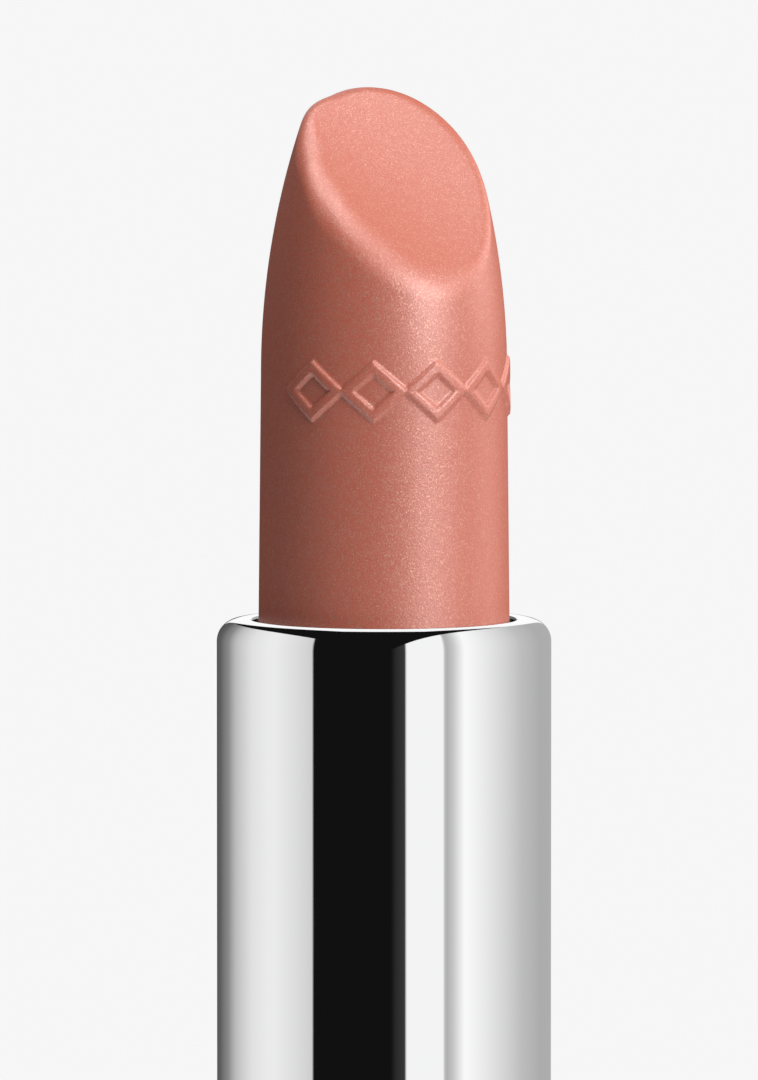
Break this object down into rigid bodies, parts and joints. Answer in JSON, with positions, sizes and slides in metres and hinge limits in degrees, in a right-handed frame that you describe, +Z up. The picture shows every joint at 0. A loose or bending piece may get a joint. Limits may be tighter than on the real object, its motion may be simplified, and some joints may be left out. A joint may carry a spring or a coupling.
{
  "type": "lipstick case",
  "caption": "Round twist-up lipstick case with a slant-cut bullet, polished metal sleeve, weighted base and a separate cap standing beside it.",
  "frame": {"origin": "on the case's axis, at the middle of the flat face that the base stands on", "axes": "+Z up along the case's axis towards the bullet's tip; +X to the right and +Y away, seen from the side that the bullet's slanted cut faces half towards"},
  "size_m": [0.0515, 0.057, 0.08],
  "materials": {
    "lip_colour": "satin wax with fine shimmer",
    "polished_metal": "mirror polished",
    "case_lacquer": "gloss",
    "shade_disc": "satin",
    "cup_metal": "satin",
    "natural_plastic": "moulded",
    "dark_plastic": "moulded",
    "soft_ring": "matt",
    "steel_weight": "turned"
  },
  "bodies": {
    "base": {"guide_tube": "natural_plastic", "drag_washer": "soft_ring", "neck_collar": "polished_metal", "neck_seal": "soft_ring", "base_trim_ring": "polished_metal", "base_liner": "dark_plastic", "base_shell": "case_lacquer", "base_weight": "steel_weight", "base_weight_pad": "soft_ring", "base_disc": "shade_disc"},
    "sleeve": {"sleeve": "polished_metal", "spiral_cam": "natural_plastic"},
    "carriage": {"bullet": "lip_colour", "product_cup": "cup_metal", "carrier": "natural_plastic", "brake_ring": "soft_ring"},
    "cap": {"cap_shell": "case_lacquer", "cap_mouth_ring": "polished_metal", "cap_liner": "dark_plastic", "cap_weight": "steel_weight", "cap_weight_pad": "soft_ring", "cap_end_disc": "polished_metal"}
  },
  "joints": [
    {"name": "sleeve_twist", "type": "hinge", "parent": "base", "child": "sleeve", "pos_m": [0, 0, 0.03], "axis": [0, 0, 1], "range_deg": [0, 450]},
    {"name": "carriage_slide", "type": "slide", "parent": "base", "child": "carriage", "axis": [0, 0, 1], "range_m": [-0.02625, 0]},
    {"name": "cap_lift", "type": "slide", "parent": "base", "child": "cap", "axis": [0, 0, 1], "range_m": [0, 0.06]}
  ],
  "couplings": [
    {"joint": "carriage_slide", "follows": "sleeve_twist", "m_per_rad": -0.0033423}
  ]
}
